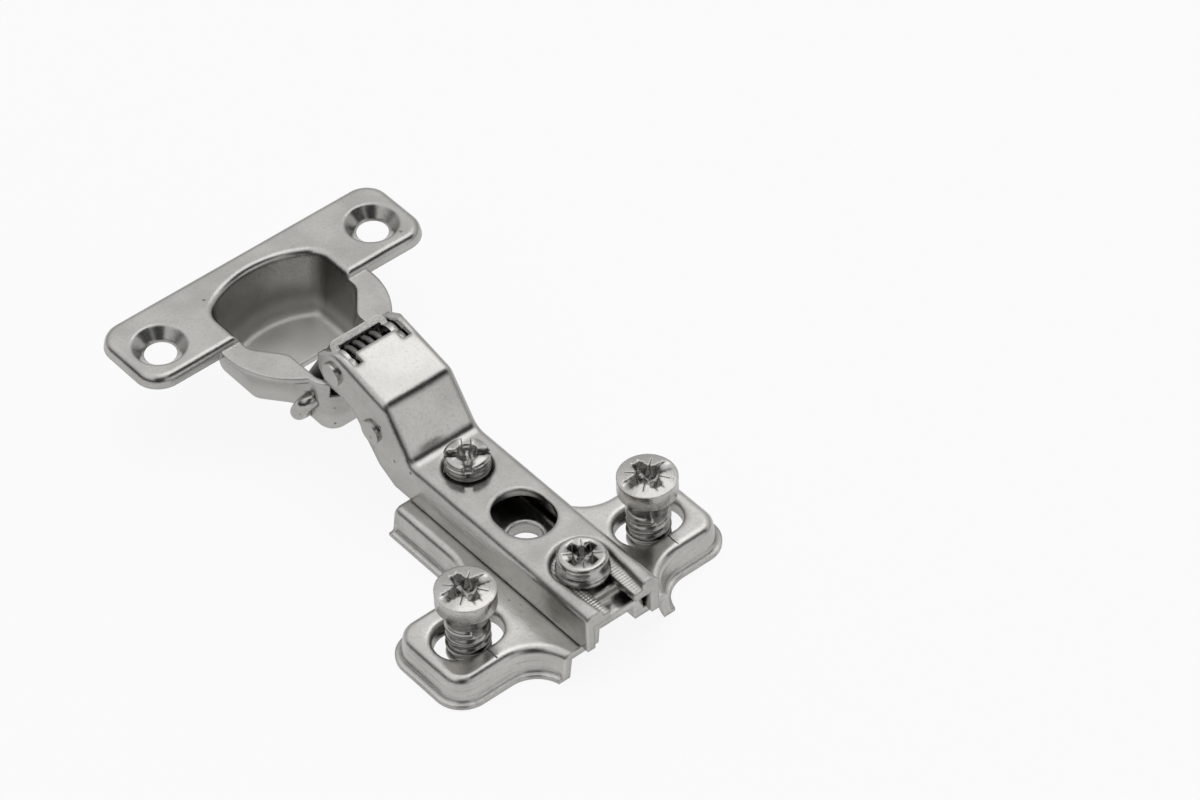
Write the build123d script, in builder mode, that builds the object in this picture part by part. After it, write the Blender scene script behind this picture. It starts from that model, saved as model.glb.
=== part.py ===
"""A slide-on concealed cabinet hinge with a 26 mm cup, modelled fully open.

Millimetres. The origin lies on the cabinet's side face, midway between the two
cabinet screws. X runs along the arm towards the cup, Y along the row of screws, Z out
of the cabinet side.
"""
from build123d import *
from math import atan2, cos, degrees, hypot, radians, sin, sqrt, tan
import os

os.makedirs("parts", exist_ok=True)

# Sheet and running fits
plate_sheet = 1.2
arm_sheet = 1.3
link_sheet = 1.15
cup_sheet = 0.9
pin_fit = 0.05
slide_gap = 0.1

# Mounting plate
screw_spacing = 32.0
wing_end = 8.7
wing_width = 16.5
wing_corner = 4.5
waist_radius = 5.0
spine_front = 24.9
spine_rear = -12.2
spine_width = 20.4
lip_width = 0.7
lip_height = 0.55
flare_radius = 0.5
skirt_taper = 8.0
shoulder_height = 4.5
press_share = 0.56
channel_width = 9.6
channel_height = 6.9
channel_taper = 6.0
slot_width = 7.0
slot_length = 10.4
slot_lip = 1.3
slot_lip_wall = 0.7
slot_edge_share = 0.42
centre_hole_x = 7.2
centre_hole = 4.8
centre_lip = 0.9
pad_length = 8.6
pad_width = 7.0
pad_rise = 1.5
boss_wall = 0.85
boss_depth = 2.2
neck_slot_back = 3.0
coined_pad_depth = 0.25
coined_pad_width = 5.4
coined_pad_back = 5.2

# Arm
arm_rear = -13.7
arm_width = 12.6
arm_top = 11.1
arm_wall_foot = 4.7
lower_bend = (24.5, 11.1)
upper_bend = (29.8, 18.6)
flat_slope = 13.0
flat_front = 39.1
bend_radius = 2.2
fold_radius = 1.2
nose_radius = 3.25
nose_top_back = 0.3
knee_back = 1.2
knee_drop = 5.6
knee_run = 3.3
notch_back = 4.3
notch_drop = 4.1
corner_notch = 1.55
corner_notch_depth = 1.8
access_hole_x = 7.2
access_hole_length = 9.8
access_hole_width = 8.2
dish_radius = 4.35
dish_depth = 1.2
dish_wall = 0.8
dish_slope = 14.0
dish_converge = 6.0
dish_edge = 0.4
clamp_slot_front = 2.6

# Pivots of the linkage, as X and Z, in the open position
front_pivot = (41.0, 17.1)
rear_pivot = (32.65, 12.15)
deep_pivot = (48.6, 4.6)
mouth_pivot = (46.35, 8.35)
pin_diameter = 2.4
rivet_head = 3.7
rivet_head_height = 0.55

# The four-bar is opened at the front pin, so that hole is a slot in the inner link
open_pivot_back = 1.31
open_pivot_side = 1.43
open_pivot_spread = 0.22

# Links
link_gap = 0.2
web_offset = 3.9
web_start = -0.8
web_length = 10.6
ear_wall = 1.0
deep_eye_wall = 0.9
ear_relief = 0.35
eye_wall = 1.0
tip_gap = 0.15
outer_link_step = 6.0
eye_seam = 0.25

# Spring
wire = 1.2
coil_turns = 4
coil_gap = 0.25
coil_clearance = 0.2
leg_length = 6.0
leg_bend = 2.0
leg_turn = 17.0

# Cup
cup_x = 57.0
rim_height = 12.0
disc_diameter = 26.1
disc_height = 0.95
flange_near = 1.1
flange_width = 14.6
flange_length = 50.0
flange_corner = 4.0
flange_height = 1.8
flange_taper = 12.0
flange_edge = 1.2
door_hole_spacing = 38.0
door_hole_shift = -0.8
door_hole = 4.7
countersink = 8.2
door_lip = 0.6
sink_angle = 45.0
sink_edge = 0.4
mouth_half = 9.8
mouth_back = 11.7
back_radius = 15.0
back_corner = 3.5
mouth_edge = 1.0
shoulder_start = -0.8
shoulder_radius = 2.8
floor_room = 1.4
bowl_taper = 7.0
bowl_floor_radius = 1.3
neck_gap = 1.4
neck_start = -5.4
neck_front = -13.9
neck_corner = 3.0
neck_lip = 1.8
front_gap_half = 5.5
window_gap = 0.4
window_back = 0.6
window_front = -11.0
staple_room = 1.6
staple_end = -7.5
staple_radius = 1.4

# Screws
clamp_x = -5.3
clamp_thread = 4.0
clamp_collar = 7.6
clamp_collar_height = 0.6
clamp_head = 7.2
clamp_head_height = 3.1
clamp_tip = 3.15
clamp_turn = 10.0
adjust_x = 19.4
adjust_thread = 6.6
adjust_top = 13.7
adjust_thread_foot = 8.3
adjust_neck = 3.4
adjust_disc = 5.9
adjust_disc_foot = 4.0
adjust_chamfer = 0.4
adjust_slot = 1.15
adjust_slot_depth = 1.4
adjust_sink = 0.5
adjust_turn = 54.0
adjust_pitch = 0.7
adjust_groove = 0.3
adjust_grooves = 4
cabinet_head = 8.6
cabinet_head_top = 13.5
cabinet_head_height = 3.5
cabinet_crown = 0.45
cabinet_under = 0.5
cabinet_neck = 6.0
cabinet_thread = 6.4
cabinet_core = 5.5
cabinet_pitch = 1.8
cabinet_plain = 2.2
cabinet_tip = 0.1
cabinet_ridge = 0.75
cabinet_slot_depth = 0.4
cabinet_turn = -6.0
head_dome = 0.7
recess_span = 5.0
recess_width = 1.5
recess_depth = 1.7
recess_taper = 12.0
recess_corner = 0.7

# Worked out from the sizes above
far = 200.0
pin_radius = pin_diameter / 2
arm_half = arm_width / 2
arm_inside = arm_half - arm_sheet
channel_floor = channel_height - plate_sheet
shoulder_floor = shoulder_height - plate_sheet
pad_top = channel_height + pad_rise
dish_floor = arm_top - dish_depth
clamp_head_foot = dish_floor + pin_fit
adjust_disc_top = channel_floor - slide_gap
pin_half_length = arm_half + rivet_head_height
ear_span = 2 * (arm_inside - link_gap)
outer_link_width = ear_span
outer_link_tip_width = ear_span - 2 * (link_sheet + tip_gap)
neck_half = ear_span / 2 + neck_gap
window_width = ear_span + 2 * window_gap
staple_reach = neck_half + staple_room
bowl_depth = rim_height - deep_pivot[1] + pin_radius + floor_room
wing_span = screw_spacing + 2 * wing_end
wing_rim = wing_end - slot_length / 2 - lip_width - shoulder_height * tan(radians(skirt_taper))
press_radius = press_share * wing_rim
slot_edge_radius = slot_edge_share * wing_rim
flange_u = flange_near + flange_width / 2


def side_plane(start, end):
    """A plane square to Y, with its origin at start and its x towards end."""
    dx, dz = end[0] - start[0], end[1] - start[1]
    length = hypot(dx, dz)
    return Plane(origin=(start[0], 0, start[1]), x_dir=(dx / length, 0, dz / length), z_dir=(0, -1, 0))


def distance(start, end):
    """How far apart two pivots are."""
    return hypot(end[0] - start[0], end[1] - start[1])


# The plate's cross outline, drawn longer than the spine so that its ends can be cut square
with BuildSketch() as plate_outline:
    Rectangle(wing_width, wing_span)
    Rectangle(2 * far, spine_width)
    fillet(plate_outline.vertices().filter_by(lambda v: abs(abs(v.X) - wing_width / 2) < 0.01
                                              and abs(abs(v.Y) - spine_width / 2) < 0.01), waist_radius)
    fillet(plate_outline.vertices().filter_by(lambda v: abs(abs(v.Y) - wing_span / 2) < 0.01), wing_corner)

# The cross cut into the heads of the screws
with BuildSketch() as cross_recess:
    Rectangle(recess_span, recess_width)
    Rectangle(recess_width, recess_span)
    fillet(cross_recess.vertices().filter_by(
        lambda v: max(abs(v.X), abs(v.Y)) < recess_width / 2 + 0.01), recess_corner)

# Mounting plate
with BuildPart() as mounting_plate:
    with BuildSketch():
        add(plate_outline.sketch)
        offset(amount=-lip_width, mode=Mode.REPLACE)
    extrude(amount=shoulder_height, taper=skirt_taper)
    shoulder_rims = mounting_plate.faces().sort_by(Axis.Z)[-1].edges()
    fillet(shoulder_rims.filter_by(lambda e: e.length < far), press_radius)
    with BuildSketch():
        add(plate_outline.sketch)
    extrude(amount=lip_height)
    fillet(mounting_plate.edges(Select.NEW), flare_radius)
    with BuildSketch(Plane.XY.offset(shoulder_floor)):
        Rectangle(2 * far, channel_width)
    extrude(amount=channel_height - shoulder_floor, taper=channel_taper)
    with BuildSketch(Plane.XY.offset(channel_floor)):
        with Locations((clamp_x, 0)):
            Rectangle(pad_length, pad_width)
    extrude(amount=pad_top - channel_floor, taper=skirt_taper)
    with BuildSketch():
        add(plate_outline.sketch)
        offset(amount=-(lip_width + plate_sheet), mode=Mode.REPLACE)
    extrude(amount=shoulder_floor, taper=skirt_taper, mode=Mode.SUBTRACT)
    with BuildSketch():
        Rectangle(2 * far, channel_width - 2 * plate_sheet)
    extrude(amount=channel_floor, taper=channel_taper, mode=Mode.SUBTRACT)
    with BuildSketch():
        with Locations((clamp_x, 0)):
            Rectangle(pad_length - 2 * plate_sheet, pad_width - 2 * plate_sheet)
    extrude(amount=pad_top - plate_sheet, mode=Mode.SUBTRACT)
    # Drawn lips round the slots, the centre hole and the threaded boss
    with BuildSketch(Plane.XY.offset(shoulder_floor - slot_lip)):
        with Locations((0, screw_spacing / 2), (0, -screw_spacing / 2)):
            SlotOverall(slot_length + 2 * slot_lip_wall, slot_width + 2 * slot_lip_wall, rotation=90)
    extrude(amount=slot_lip)
    with BuildSketch(Plane.XY.offset(channel_floor - centre_lip)):
        with Locations((centre_hole_x, 0)):
            Circle(centre_hole / 2 + slot_lip_wall)
    extrude(amount=centre_lip)
    with BuildSketch(Plane.XY.offset(pad_top - plate_sheet - boss_depth)):
        with Locations((clamp_x, 0)):
            Circle(clamp_thread / 2 + boss_wall)
    extrude(amount=boss_depth)
    with BuildSketch():
        with Locations((0, screw_spacing / 2), (0, -screw_spacing / 2)):
            SlotOverall(slot_length, slot_width, rotation=90)
        with Locations((centre_hole_x, 0)):
            Circle(centre_hole / 2)
        with Locations((clamp_x, 0)):
            Circle(clamp_thread / 2 + pin_fit)
        with Locations((adjust_x, 0)):
            Circle(adjust_neck / 2 + 2 * slide_gap)
        with Locations((adjust_x - neck_slot_back, 0)):
            Circle(adjust_neck / 2 + 2 * slide_gap)
            with Locations((far / 2, 0)):
                Rectangle(far, adjust_neck + 4 * slide_gap)
    extrude(amount=far, mode=Mode.SUBTRACT)
    slot_rims = mounting_plate.edges().filter_by(
        lambda e: abs(e.center().Z - shoulder_height) < 0.01
        and abs(abs(e.center().Y) - screw_spacing / 2) < slot_length / 2
        and abs(e.center().X) < slot_width / 2 + 0.01)
    fillet(slot_rims, slot_edge_radius)
    # Coined pad that the adjusting screw's disc slides on
    with BuildSketch():
        with Locations((adjust_x - coined_pad_back + far / 2, 0)):
            Rectangle(far, coined_pad_width)
    extrude(amount=channel_floor + coined_pad_depth, mode=Mode.SUBTRACT)
    split(bisect_by=Plane.YZ.offset(spine_front), keep=Keep.BOTTOM)
    split(bisect_by=Plane.YZ.offset(spine_rear), keep=Keep.TOP)
mounting_plate.part.label = "mounting_plate"
export_step(mounting_plate.part, "parts/mounting_plate.step")

# Arm: a channel folded from one sheet, cranked up to its nose
flat_rise = tan(radians(flat_slope))
flat_end = (flat_front, upper_bend[1] + (flat_front - upper_bend[0]) * flat_rise)
hollow_end = (far, upper_bend[1] + (far - upper_bend[0]) * flat_rise - arm_sheet / cos(radians(flat_slope)))
wall_knee = (rear_pivot[0] - knee_back, rear_pivot[1] - knee_drop)
wall_notch = (front_pivot[0] - notch_back, front_pivot[1] - notch_drop)
converge = radians(dish_converge)
dish_touch = (clamp_x - dish_radius * sin(converge), dish_radius * cos(converge))
dish_rear = (arm_rear - dish_radius,
             dish_radius / cos(converge) - tan(converge) * (clamp_x - arm_rear + dish_radius))


def inset_corner(before, corner, after, depth):
    """The corner of a line drawn a sheet's depth below the two edges that meet here."""
    first = atan2(corner[1] - before[1], corner[0] - before[0])
    second = atan2(after[1] - corner[1], after[0] - corner[0])
    middle = (first + second) / 2
    reach = depth / cos((second - first) / 2)
    return (corner[0] + reach * sin(middle), corner[1] - reach * cos(middle))


def arm_top_at(x):
    """How high the arm's top line is at this x."""
    if x < lower_bend[0]:
        return arm_top
    if x < upper_bend[0]:
        return arm_top + (x - lower_bend[0]) * (upper_bend[1] - arm_top) / (upper_bend[0] - lower_bend[0])
    return upper_bend[1] + (x - upper_bend[0]) * flat_rise


with BuildPart() as arm:
    with BuildSketch(Plane.XZ) as arm_side:
        with BuildLine():
            Polyline((arm_rear, arm_wall_foot), (arm_rear, arm_top), lower_bend, upper_bend, flat_end,
                     (front_pivot[0] - nose_top_back, flat_end[1]),
                     (front_pivot[0] + nose_radius, front_pivot[1] + nose_radius / 2),
                     (front_pivot[0] + nose_radius, front_pivot[1] - nose_radius / 3),
                     (front_pivot[0] + nose_radius / 2, front_pivot[1] - nose_radius),
                     (front_pivot[0] - nose_radius / 2, front_pivot[1] - nose_radius),
                     wall_notch, wall_knee, (wall_knee[0] - knee_run, arm_wall_foot), close=True)
        make_face()
        corners = arm_side.vertices()
        bends = [v for v in corners if (Vector(v.X, v.Y) - Vector(*lower_bend)).length < 0.01
                 or (Vector(v.X, v.Y) - Vector(*upper_bend)).length < 0.01]
        nose = [v for v in corners if v.X > front_pivot[0] - nose_top_back - 0.01]
        under = [v for v in corners if v.Y < front_pivot[1] - nose_radius + 0.01
                 and arm_rear + 0.01 < v.X < front_pivot[0]]
        fillet(bends, bend_radius)
        fillet(nose, nose_radius / 3)
        fillet(under, nose_radius / 3)
    extrude(amount=arm_half, both=True)
    folds = arm.edges().filter_by(lambda e: abs(abs(e.center().Y) - arm_half) < 0.01
                                  and e.center().X < flat_front
                                  and abs(e.center().Z - arm_top_at(e.center().X)) < bend_radius / 2)
    fillet(folds, fold_radius)
    behind = (-far, arm_top)
    with BuildSketch(Plane.XZ):
        with BuildLine():
            Polyline((-far, -far), (-far, arm_top - arm_sheet),
                     inset_corner(behind, lower_bend, upper_bend, arm_sheet),
                     inset_corner(lower_bend, upper_bend, flat_end, arm_sheet),
                     hollow_end, (far, -far), close=True)
        make_face()
    extrude(amount=arm_inside, both=True, mode=Mode.SUBTRACT)
    # The flat stops short of the nose, with a relief notch at each corner
    with BuildSketch(Plane.XY.offset(flat_end[1] - 2 * fold_radius)):
        with Locations((flat_front + far / 2, 0)):
            Rectangle(far, 2 * arm_inside)
        with Locations((flat_front - corner_notch_depth + far / 2, arm_inside - corner_notch / 2),
                       (flat_front - corner_notch_depth + far / 2, corner_notch / 2 - arm_inside)):
            Rectangle(far, corner_notch)
    extrude(amount=far, mode=Mode.SUBTRACT)
    # Dished seat of the clamp screw, open to the rear
    with BuildSketch(Plane.XY.offset(dish_floor - arm_sheet)):
        with Locations((clamp_x, 0)):
            Circle(dish_radius + dish_wall)
        with Locations(((clamp_x + arm_rear) / 2, 0)):
            Rectangle(clamp_x - arm_rear, 2 * (dish_radius + dish_wall))
    extrude(amount=dish_depth)
    with BuildSketch(Plane.XY.offset(dish_floor)):
        with Locations((clamp_x, 0)):
            Circle(dish_radius)
        with BuildLine():
            Polyline((dish_touch[0], dish_touch[1]), (dish_rear[0], dish_rear[1]),
                     (dish_rear[0], -dish_rear[1]), (dish_touch[0], -dish_touch[1]), close=True)
        make_face()
    extrude(amount=dish_depth, taper=-dish_slope, mode=Mode.SUBTRACT)
    dish_rims = arm.edges().filter_by(lambda e: abs(e.center().Z - arm_top) < 0.01
                                      and abs(e.center().Y) < arm_half - fold_radius - 0.01
                                      and e.center().X > arm_rear + 0.01
                                      and e.center().X < clamp_x + 2 * dish_radius)
    fillet(dish_rims, dish_edge)
    with BuildSketch(Plane.XY.offset(dish_floor - 2 * arm_sheet)):
        with Locations((clamp_x + clamp_slot_front - clamp_thread / 2, 0)):
            Circle(clamp_thread / 2 + 2 * slide_gap)
            with Locations((-far / 2, 0)):
                Rectangle(far, clamp_thread + 4 * slide_gap)
        with Locations((access_hole_x, 0)):
            SlotOverall(access_hole_length, access_hole_width)
        with Locations((adjust_x, 0)):
            Circle(adjust_thread / 2 + pin_fit)
    extrude(amount=far, mode=Mode.SUBTRACT)
    with BuildSketch(Plane.XY.offset(arm_top)):
        with Locations((adjust_x, 0)):
            Circle(adjust_thread / 2 + pin_fit + adjust_sink)
    extrude(amount=-adjust_sink, taper=sink_angle, mode=Mode.SUBTRACT)
    for pivot in (front_pivot, rear_pivot):
        with BuildSketch(Plane.XZ):
            with Locations(pivot):
                Circle(pin_radius + pin_fit)
        extrude(amount=far, both=True, mode=Mode.SUBTRACT)
arm.part.label = "arm"
export_step(arm.part, "parts/arm.step")

# Riveted pins across the arm's nose
for label, pivot in (("front_arm_pin", front_pivot), ("rear_arm_pin", rear_pivot)):
    with BuildPart() as arm_pin:
        with BuildSketch(Plane.XZ):
            with Locations(pivot):
                Circle(pin_radius)
        extrude(amount=pin_half_length, both=True)
        for side in (1, -1):
            with BuildSketch(Plane.XZ.offset(side * arm_half)):
                with Locations(pivot):
                    Circle(rivet_head / 2)
            extrude(amount=side * rivet_head_height, taper=skirt_taper)
    arm_pin.part.label = label
    export_step(arm_pin.part, f"parts/{label}.step")

# Inner link: two ears and a web folded from one sheet, drawn along the line of its pivots
inner_length = distance(front_pivot, deep_pivot)
inner_side = side_plane(front_pivot, deep_pivot)
mouth_in_inner = inner_side.to_local_coords(Vector(mouth_pivot[0], 0, mouth_pivot[1]))
ear_half = ear_span / 2
slot_half = pin_radius + open_pivot_spread + pin_fit
relief_line = mouth_in_inner.Y + pin_radius + ear_relief
with BuildPart() as inner_link:
    with BuildSketch(inner_side):
        with BuildLine():
            Polyline((web_start, web_offset), (web_length, web_offset),
                     (inner_length + pin_radius, pin_radius + deep_eye_wall),
                     (inner_length, 0), (inner_length - pin_radius, relief_line),
                     (mouth_in_inner.X - pin_radius - deep_eye_wall, relief_line),
                     (web_offset, -open_pivot_side), (-open_pivot_back, -open_pivot_side), close=True)
        make_face()
        with Locations((inner_length, 0)):
            Circle(pin_radius + pin_fit + deep_eye_wall)
        Circle(slot_half + ear_wall)
        with Locations((-open_pivot_back, -open_pivot_side)):
            Circle(slot_half + ear_wall / 2)
    extrude(amount=ear_half, both=True)
    folds = inner_link.edges().filter_by(Axis(inner_side.origin, inner_side.x_dir)).filter_by(
        lambda e: abs(inner_side.to_local_coords(e.center()).Y - web_offset) < 0.01)
    fillet(folds, link_sheet)
    with BuildSketch(inner_side):
        with Locations((0, web_offset - link_sheet - far / 2)):
            Rectangle(2 * far, far)
        with Locations((web_length + far / 2, 0)):
            Rectangle(far, far)
    extrude(amount=ear_half - link_sheet, both=True, mode=Mode.SUBTRACT)
    with BuildSketch(inner_side):
        Circle(slot_half)
        with Locations((-open_pivot_back, -open_pivot_side)):
            Circle(slot_half)
        with Locations((-open_pivot_back / 2, -open_pivot_side / 2)):
            Rectangle(hypot(open_pivot_back, open_pivot_side), 2 * slot_half,
                      rotation=degrees(atan2(open_pivot_side, open_pivot_back)))
        with Locations((inner_length, 0)):
            Circle(pin_radius + pin_fit)
    extrude(amount=far, both=True, mode=Mode.SUBTRACT)
inner_link.part.label = "inner_link"
export_step(inner_link.part, "parts/inner_link.step")

# Outer link: a strip with a rolled eye at each end
outer_length = distance(rear_pivot, mouth_pivot)
outer_side = side_plane(rear_pivot, mouth_pivot)
eye_radius = pin_radius + pin_fit + eye_wall
with BuildPart() as outer_link:
    with BuildSketch(outer_side):
        with Locations((0, 0), (outer_length, 0)):
            Circle(eye_radius)
        with Locations((outer_length / 2, eye_radius - eye_wall / 2)):
            Rectangle(outer_length, eye_wall)
        with Locations((0, 0), (outer_length, 0)):
            Circle(pin_radius + pin_fit, mode=Mode.SUBTRACT)
        with Locations((eye_radius / 2, eye_radius - eye_wall - eye_seam / 2),
                       (outer_length - eye_radius / 2, eye_radius - eye_wall - eye_seam / 2)):
            Rectangle(eye_radius, eye_seam, mode=Mode.SUBTRACT)
    extrude(amount=outer_link_width / 2, both=True)
    with BuildSketch(outer_side.offset(outer_link_tip_width / 2)):
        with Locations((outer_link_step + far / 2, 0)):
            Rectangle(far, far)
    extrude(amount=far, mode=Mode.SUBTRACT)
    with BuildSketch(outer_side.offset(-outer_link_tip_width / 2)):
        with Locations((outer_link_step + far / 2, 0)):
            Rectangle(far, far)
    extrude(amount=-far, mode=Mode.SUBTRACT)
outer_link.part.label = "outer_link"
export_step(outer_link.part, "parts/outer_link.step")

# Torsion spring, wound on the front pin
coil_radius = pin_radius + coil_clearance + wire / 2
coil_pitch = wire + coil_gap
coil_height = coil_turns * coil_pitch
leg_plane = Plane(origin=(front_pivot[0], -coil_height / 2, front_pivot[1]),
                  x_dir=inner_side.y_dir.rotate(Axis.Y, leg_turn), z_dir=(0, 1, 0))
with BuildPart() as torsion_spring:
    with BuildLine() as coil:
        Helix(coil_pitch, coil_height, coil_radius)
    turns = coil.line
    with BuildSketch(Plane(origin=turns @ 0, z_dir=turns % 0)):
        Circle(wire / 2)
    sweep(path=turns, is_frenet=True)
    coil_end = turns @ 1
    coil_way = turns % 1
    leg_way = Vector(coil_way.X, coil_way.Y, 0).normalized()
    with BuildLine() as leg:
        Spline(coil_end, coil_end + leg_way * leg_bend, tangents=(coil_way, leg_way))
        Line(leg.line @ 1, leg.line @ 1 + leg_way * (leg_length - leg_bend))
    with BuildSketch(Plane(origin=coil_end, z_dir=coil_way)):
        Circle(wire / 2)
    sweep(path=leg.line)
torsion_spring.part.location = leg_plane.location
torsion_spring.part.label = "torsion_spring"
export_step(torsion_spring.part, "parts/torsion_spring.step")

# Drawn cup. Its mouth is a wide D that narrows at the shoulders to the neck that the links pass
back_centre = mouth_back - back_radius
corner_u = back_centre + sqrt(back_radius ** 2 - mouth_half ** 2)
with BuildSketch() as mouth:
    with BuildLine():
        Polyline((corner_u, mouth_half), (shoulder_start, mouth_half), (neck_start, neck_half),
                 (neck_front, neck_half), (neck_front, -neck_half), (neck_start, -neck_half),
                 (shoulder_start, -mouth_half), (corner_u, -mouth_half))
        ThreePointArc((corner_u, -mouth_half), (mouth_back, 0), (corner_u, mouth_half))
    make_face()
    fillet(mouth.vertices().filter_by(lambda v: abs(v.X - neck_front) < 0.01), neck_corner)
    fillet(mouth.vertices().filter_by(lambda v: abs(v.X - corner_u) < 0.01), back_corner)
    fillet(mouth.vertices().filter_by(lambda v: abs(v.X - neck_start) < 0.01
                                      or abs(v.X - shoulder_start) < 0.01), shoulder_radius)
with BuildSketch() as mouth_outside:
    add(mouth.sketch)
    offset(amount=cup_sheet, mode=Mode.REPLACE)


def cup_plane(height):
    """A level plane through the cup, at this height above the door's face."""
    return Plane(origin=(cup_x, 0, rim_height + height))


with BuildPart() as bowl_hollow:
    with BuildSketch(cup_plane(flange_height)):
        add(mouth.sketch)
    extrude(amount=-(flange_height + bowl_depth - cup_sheet), taper=bowl_taper)
    fillet(bowl_hollow.faces().sort_by(Axis.Z)[0].edges(), bowl_floor_radius)
    with BuildSketch(cup_plane(flange_height)):
        Rectangle(far, far)
    extrude(amount=flange_height)
    entry = bowl_hollow.edges().filter_by(lambda e: abs(e.center().Z - rim_height - flange_height) < 0.01
                                          and e.length < far / 2)
    fillet(entry, mouth_edge)

with BuildPart() as bowl_form:
    with BuildSketch(cup_plane(disc_height)):
        add(mouth_outside.sketch)
    extrude(amount=-(disc_height + bowl_depth), taper=bowl_taper)
    fillet(bowl_form.faces().sort_by(Axis.Z)[0].edges(), bowl_floor_radius + cup_sheet)

door_holes = [(flange_u + door_hole_shift, side * door_hole_spacing / 2) for side in (1, -1)]
with BuildPart() as hinge_cup:
    with BuildSketch(cup_plane(0)):
        with Locations((flange_u, 0)):
            RectangleRounded(flange_width, flange_length, flange_corner)
    extrude(amount=flange_height, taper=flange_taper)
    fillet(hinge_cup.faces().sort_by(Axis.Z)[-1].edges(), flange_edge)
    # The flange is open underneath
    with BuildSketch(cup_plane(0)):
        with Locations((flange_u, 0)):
            RectangleRounded(flange_width - 2 * cup_sheet, flange_length - 2 * cup_sheet,
                             flange_corner - cup_sheet)
    extrude(amount=flange_height - cup_sheet, taper=flange_taper, mode=Mode.SUBTRACT)
    with BuildSketch(cup_plane(0)):
        Circle(disc_diameter / 2)
        with Locations((flange_near + cup_sheet + far / 2, 0)):
            Rectangle(far, far, mode=Mode.SUBTRACT)
    extrude(amount=disc_height)
    add(bowl_form.part)
    with BuildSketch(cup_plane(flange_height - cup_sheet)):
        with Locations(*door_holes):
            Circle(countersink / 2 + door_lip)
    extrude(amount=cup_sheet - flange_height, taper=sink_angle)
    add(bowl_hollow.part, mode=Mode.SUBTRACT)
    with BuildSketch(cup_plane(0)):
        with Locations(*door_holes):
            Circle(door_hole / 2)
    extrude(amount=far, mode=Mode.SUBTRACT)
    sink_depth = (countersink - door_hole) / 2
    with BuildSketch(cup_plane(flange_height)):
        with Locations(*door_holes):
            Circle(countersink / 2)
    extrude(amount=-sink_depth, taper=sink_angle, mode=Mode.SUBTRACT)
    sink_rims = hinge_cup.edges().filter_by(GeomType.CIRCLE).filter_by(
        lambda e: abs(e.radius - countersink / 2) < 0.01)
    fillet(sink_rims, sink_edge)
    # The neck is open in front for the arm's nose, and the floor has a window for the inner link
    with BuildSketch(cup_plane(-neck_lip)):
        with Locations((neck_front + neck_corner - far / 2, 0)):
            Rectangle(far, 2 * front_gap_half)
    extrude(amount=far, mode=Mode.SUBTRACT)
    with BuildSketch(cup_plane(-bowl_depth)):
        with Locations(((window_back + window_front) / 2, 0)):
            Rectangle(window_back - window_front, window_width)
    extrude(amount=cup_sheet + bowl_floor_radius, mode=Mode.SUBTRACT)
    for pivot in (deep_pivot, mouth_pivot):
        with BuildSketch(Plane.XZ):
            with Locations(pivot):
                Circle(pin_radius + pin_fit)
        extrude(amount=far, both=True, mode=Mode.SUBTRACT)
hinge_cup.part.label = "hinge_cup"
export_step(hinge_cup.part, "parts/hinge_cup.step")

# One bent wire makes both pivots of the cup
with BuildPart() as cup_pin:
    with BuildLine() as staple:
        FilletPolyline((deep_pivot[0], staple_end, deep_pivot[1]),
                       (deep_pivot[0], staple_reach, deep_pivot[1]),
                       (mouth_pivot[0], staple_reach, mouth_pivot[1]),
                       (mouth_pivot[0], staple_end, mouth_pivot[1]), radius=staple_radius)
    with BuildSketch(Plane(origin=staple.line @ 0, z_dir=staple.line % 0)):
        Circle(pin_radius)
    sweep(path=staple.line)
cup_pin.part.label = "cup_pin"
export_step(cup_pin.part, "parts/cup_pin.step")

# Clamp screw
with BuildPart() as clamp_screw:
    with BuildSketch(Plane.XY.offset(clamp_head_foot)):
        Circle(clamp_head / 2)
    extrude(amount=clamp_head_height)
    fillet(clamp_screw.faces().sort_by(Axis.Z)[-1].edges(), head_dome)
    with BuildSketch(Plane.XY.offset(clamp_head_foot)):
        Circle(clamp_collar / 2)
    extrude(amount=clamp_collar_height)
    with BuildSketch(Plane.XY.offset(clamp_tip)):
        Circle(clamp_thread / 2)
    extrude(amount=clamp_head_foot - clamp_tip)
    with BuildSketch(Plane.XY.offset(clamp_head_foot + clamp_head_height)):
        add(cross_recess.sketch)
    extrude(amount=-recess_depth, taper=recess_taper, mode=Mode.SUBTRACT)
clamp_screw.part.location = Location((clamp_x, 0, 0), (0, 0, clamp_turn))
clamp_screw.part.label = "clamp_screw"
export_step(clamp_screw.part, "parts/clamp_screw.step")

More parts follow.
